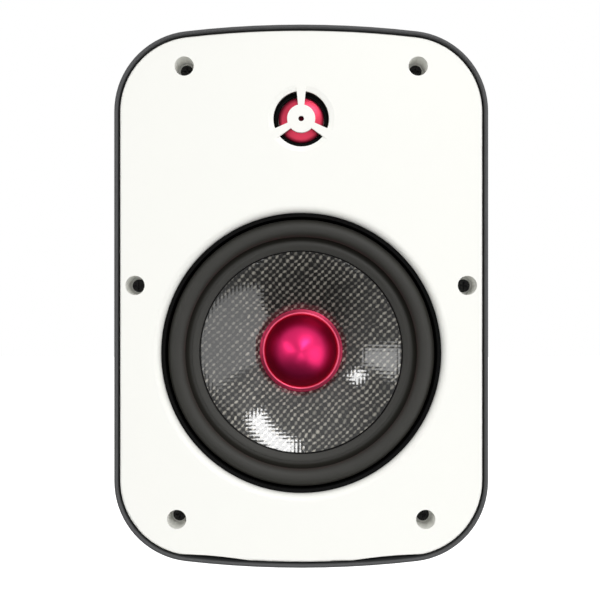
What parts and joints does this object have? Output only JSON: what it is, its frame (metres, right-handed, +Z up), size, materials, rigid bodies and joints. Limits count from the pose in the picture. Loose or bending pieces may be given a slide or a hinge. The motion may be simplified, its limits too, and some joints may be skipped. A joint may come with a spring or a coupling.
{
  "type": "wall speaker",
  "caption": "Wall speaker with a bowed dark cabinet, white baffle, guarded dome tweeter, woven woofer cone with a pink pointed cap, and spring terminals at the back.",
  "frame": {"origin": "midway between the two bracket inserts, in the plane of the flat back", "axes": "+Z up, +Y out of the back towards the wall, the front faces -Y"},
  "size_m": [0.19, 0.15, 0.276],
  "materials": {
    "white_plastic": "fine satin moulding",
    "charcoal_plastic": "fine grained moulding",
    "black_plastic": "satin",
    "red_plastic": "satin",
    "black_foam": "matt foam",
    "black_rubber": "matt",
    "woven_cone": "silver and black plain weave under clear lacquer",
    "pink_metal": "anodised, bright",
    "red_metal": "anodised, bright",
    "bare_aluminium": "plain",
    "copper": "enamelled wire",
    "brass": "turned",
    "spider_cloth": "impregnated cotton",
    "black_steel": "black",
    "zinc_steel": "zinc plated",
    "ferrite": "ground",
    "board": "solder resist",
    "can_sleeve": "shrink sleeve",
    "white_ceramic": "cement filled",
    "brown_board": "laminate"
  },
  "bodies": {
    "housing": {"cabinet": "charcoal_plastic", "front_baffle": "white_plastic", "baffle_seal": "black_foam", "baffle_screws": "black_steel", "bracket_inserts": "brass", "woofer_basket": "black_steel", "woofer_gasket": "black_foam", "woofer_screws": "zinc_steel", "woofer_surround": "black_rubber", "woofer_spider": "spider_cloth", "woofer_top_plate": "zinc_steel", "woofer_magnet": "ferrite", "woofer_yoke": "zinc_steel", "woofer_tag_strip": "brown_board", "woofer_tags": "brass", "tweeter_faceplate": "black_plastic", "tweeter_gasket": "black_foam", "tweeter_screws": "zinc_steel", "tweeter_surround": "black_rubber", "tweeter_pole_plate": "zinc_steel", "tweeter_magnet": "zinc_steel", "tweeter_yoke": "zinc_steel", "terminal_cup": "black_plastic", "terminal_gasket": "black_foam", "terminal_screws": "black_steel", "lever_pin": "zinc_steel", "contact_springs": "brass", "crossover_board": "board", "crossover_screws": "zinc_steel", "inductor_bobbins": "black_plastic", "inductor_windings": "copper", "crossover_capacitors": "can_sleeve", "crossover_resistor": "white_ceramic"},
    "woofer_diaphragm": {"woofer_cone": "woven_cone", "dust_cap": "pink_metal", "voice_coil_former": "bare_aluminium", "voice_coil": "copper"},
    "tweeter_diaphragm": {"tweeter_dome": "red_metal", "tweeter_voice_coil": "copper"},
    "red_terminal_lever": {"lever_red": "red_plastic"},
    "black_terminal_lever": {"lever_black": "black_plastic"}
  },
  "joints": [
    {"name": "woofer_travel", "type": "slide", "parent": "housing", "child": "woofer_diaphragm", "axis": [0, -1, 0], "range_m": [-0.004, 0.004], "stiffness_N_per_m": 1200, "deforming": ["woofer_surround", "woofer_spider"]},
    {"name": "tweeter_travel", "type": "slide", "parent": "housing", "child": "tweeter_diaphragm", "axis": [0, -1, 0], "range_m": [-0.00025, 0.00025], "stiffness_N_per_m": 200, "deforming": ["tweeter_surround"]},
    {"name": "red_lever_push", "type": "hinge", "parent": "housing", "child": "red_terminal_lever", "pos_m": [-0.012, -0.0131, -0.058], "axis": [-1, 0, 0], "range_deg": [0, 16], "stiffness_Nm_per_rad": 0.03, "springref_deg": -11.46, "deforming": ["contact_springs"]},
    {"name": "black_lever_push", "type": "hinge", "parent": "housing", "child": "black_terminal_lever", "pos_m": [0.012, -0.0131, -0.058], "axis": [-1, 0, 0], "range_deg": [0, 16], "stiffness_Nm_per_rad": 0.03, "springref_deg": -11.46, "deforming": ["contact_springs"]}
  ]
}
